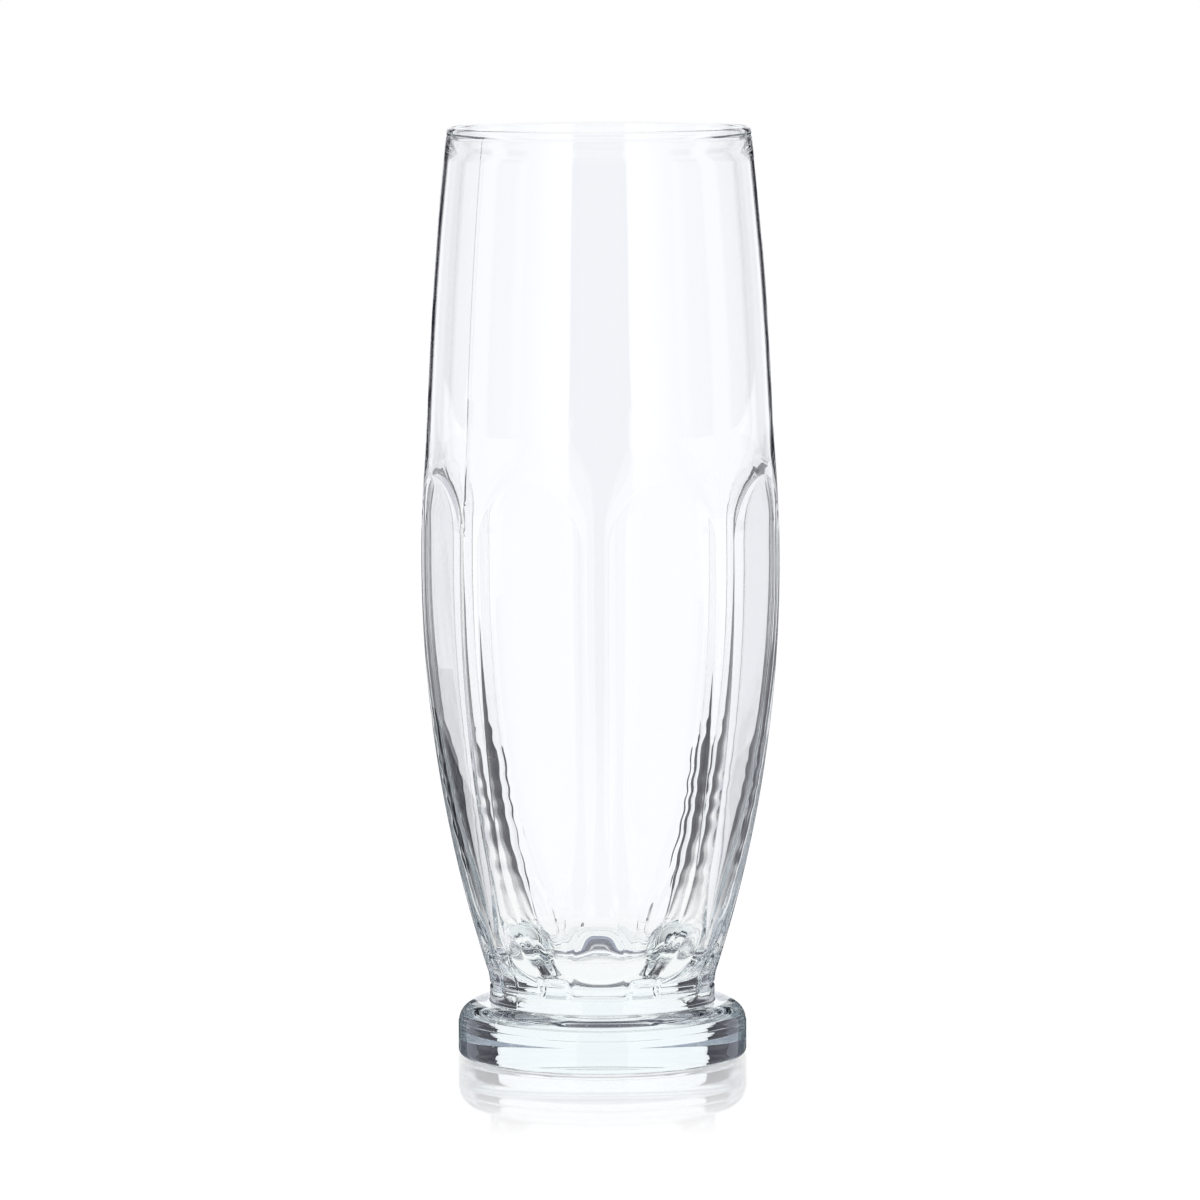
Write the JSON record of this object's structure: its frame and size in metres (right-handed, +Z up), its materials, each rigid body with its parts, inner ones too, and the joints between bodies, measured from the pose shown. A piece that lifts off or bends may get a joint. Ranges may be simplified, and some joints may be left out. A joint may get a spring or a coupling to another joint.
{
  "type": "beer tumbler",
  "caption": "Tall clear-glass beer tumbler: a plain barrel wall over flat panels with arched tops, a solid base, a plain collar and a thick round foot.",
  "frame": {"origin": "centre of the standing plane under the foot, on the axis of the glass", "axes": "+Z up along the axis of the glass, from the foot to the mouth; -Y faces the viewer, along a ridge between two panels"},
  "size_m": [0.0774, 0.0774, 0.2],
  "materials": {
    "clear_glass": "fire-polished clear soda-lime glass, colourless when thin and faintly blue-green through thick edges"
  },
  "bodies": {
    "root": {"rim": "clear_glass", "upper_wall": "clear_glass", "panelled_wall": "clear_glass", "solid_base": "clear_glass", "collar": "clear_glass", "foot": "clear_glass"}
  },
  "joints": []
}
